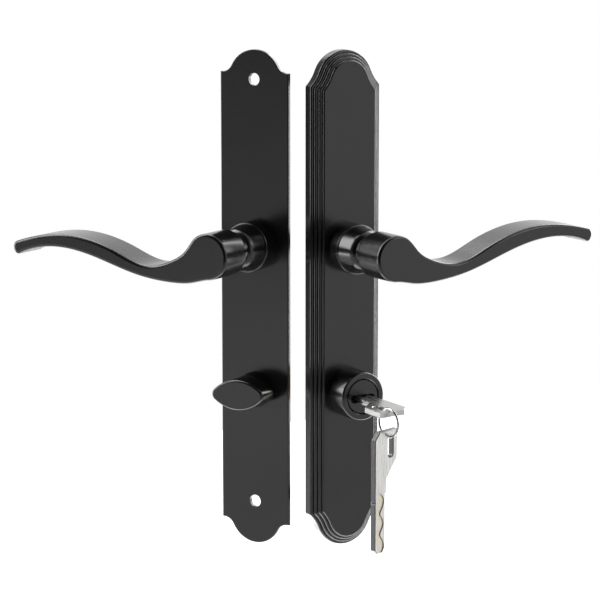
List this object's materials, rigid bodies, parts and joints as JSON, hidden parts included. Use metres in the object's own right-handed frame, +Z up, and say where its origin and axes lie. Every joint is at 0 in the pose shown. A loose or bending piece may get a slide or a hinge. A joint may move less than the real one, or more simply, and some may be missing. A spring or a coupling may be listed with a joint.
{
  "type": "storm door handleset",
  "caption": "Lever handleset for a storm door: moulded outside plate with lever and keyed cylinder, flat inside plate with lever and thumb turn, with keys on a ring.",
  "frame": {"origin": "on the exterior lever and spindle axis, in the plane of the exterior door face", "axes": "+Y runs along the spindle into the door, +Z is up the door, +X is the way the exterior lever points; the interior trim stands beside the exterior one with its door face turned by 60 degrees about Z"},
  "size_m": [0.2495, 0.173, 0.25],
  "materials": {
    "satin_black": "satin black coating",
    "plated_steel": "zinc plated",
    "spring_steel": "oiled",
    "lock_brass": "turned",
    "key_nickel": "bright nickel"
  },
  "bodies": {
    "trims": {"exterior_plate": "satin_black", "exterior_bush": "satin_black", "exterior_spring": "spring_steel", "cylinder_collar": "satin_black", "cylinder_body": "lock_brass", "cylinder_nut": "plated_steel", "interior_plate": "satin_black", "interior_bush": "satin_black", "interior_spring": "spring_steel", "turn_bush": "satin_black"},
    "exterior_handle": {"exterior_lever": "satin_black", "exterior_washer": "plated_steel", "exterior_clip": "plated_steel", "spindle": "plated_steel", "spindle_pin": "plated_steel"},
    "interior_handle": {"interior_lever": "satin_black", "interior_washer": "plated_steel", "interior_clip": "plated_steel", "set_screw": "spring_steel"},
    "turn_knob": {"thumb_turn": "satin_black", "turn_washer": "plated_steel", "turn_clip": "plated_steel"},
    "plug": {"cylinder_plug": "satin_black", "wafers": "lock_brass", "plug_clip": "plated_steel", "tailpiece": "plated_steel", "tailpiece_pin": "plated_steel"},
    "key": {"lock_key": "key_nickel"},
    "ring": {"key_ring": "key_nickel"},
    "hanging_key": {"spare_key": "key_nickel"}
  },
  "joints": [
    {"name": "exterior_lever_turn", "type": "hinge", "parent": "trims", "child": "exterior_handle", "pos_m": [0, 0, 0], "axis": [0, 1, 0], "range_deg": [0, 45], "stiffness_Nm_per_rad": 0.6, "springref_deg": -28.65, "deforming": ["exterior_spring"]},
    {"name": "interior_lever_turn", "type": "hinge", "parent": "trims", "child": "interior_handle", "pos_m": [-0.03594, 0.02075, 0], "axis": [-0.866, -0.5, 0], "range_deg": [0, 45], "stiffness_Nm_per_rad": 0.6, "springref_deg": -28.65, "deforming": ["interior_spring"]},
    {"name": "thumb_turn_turn", "type": "hinge", "parent": "trims", "child": "turn_knob", "pos_m": [-0.03594, 0.02075, -0.073], "axis": [-0.866, -0.5, 0], "range_deg": [0, 90]},
    {"name": "plug_turn", "type": "hinge", "parent": "trims", "child": "plug", "pos_m": [0, 0, -0.073], "axis": [0, -1, 0], "range_deg": [-90, 90]},
    {"name": "key_slide", "type": "slide", "parent": "plug", "child": "key", "axis": [0, -1, 0], "range_m": [0, 0.024]},
    {"name": "ring_swing", "type": "hinge", "parent": "key", "child": "ring", "pos_m": [-0.0079, -0.05935, -0.074], "axis": [-0.9877, -0.1564, 0], "range_deg": [-20, 40]},
    {"name": "spare_swing", "type": "hinge", "parent": "ring", "child": "hanging_key", "pos_m": [-0.0079, -0.05935, -0.0829], "axis": [-0.9336, -0.3584, 0], "range_deg": [-15, 40]}
  ]
}
